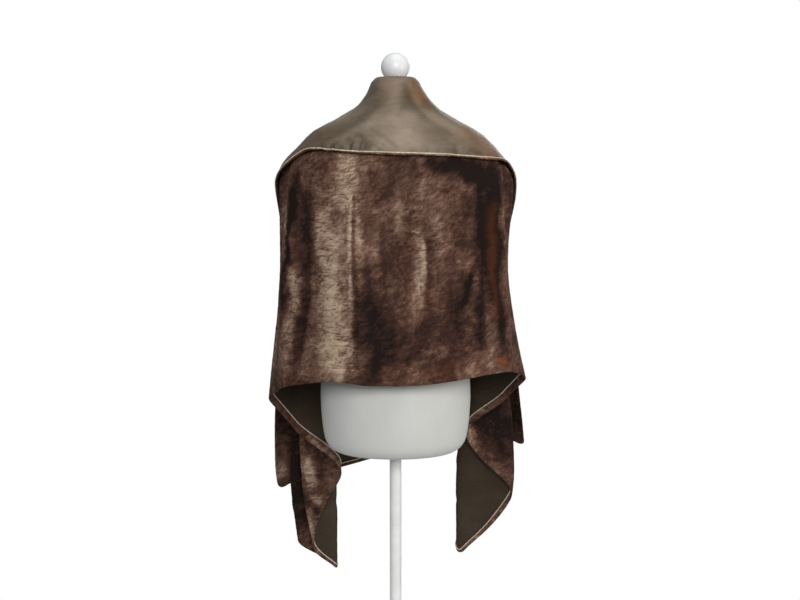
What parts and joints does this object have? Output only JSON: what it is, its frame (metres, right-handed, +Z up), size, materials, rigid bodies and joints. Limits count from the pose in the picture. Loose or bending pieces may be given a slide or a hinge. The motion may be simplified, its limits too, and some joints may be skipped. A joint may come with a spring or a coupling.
{
  "type": "evening stole worn on a limbless dress form",
  "caption": "Velvet evening stole with satin lining and piped edge, worn with its long side turned back as a collar on a limbless dress form with a ball finial, pole and round base.",
  "frame": {"origin": "centre of the stand's round underside, on the floor", "axes": "+Z up along the stand; the form would face +Y, so the back of the stole looks to -Y; +X is to the right as the back is seen"},
  "size_m": [0.5765, 0.4399, 1.5575],
  "materials": {
    "velvet": "crushed brown silk velvet",
    "satin": "olive brown satin",
    "piping": "pale gold satin piping",
    "jersey": "off-white jersey stretched over the torso",
    "neck_paint": "satin white paint",
    "ball_paint": "satin white paint",
    "stand_paint": "satin white paint"
  },
  "bodies": {
    "root": {"velvet_face": "velvet", "satin_lining": "satin", "edge_piping": "piping", "form_torso": "jersey", "neck_cap": "neck_paint", "neck_ball": "ball_paint", "stand_pole": "stand_paint", "stand_base": "stand_paint"}
  },
  "joints": []
}
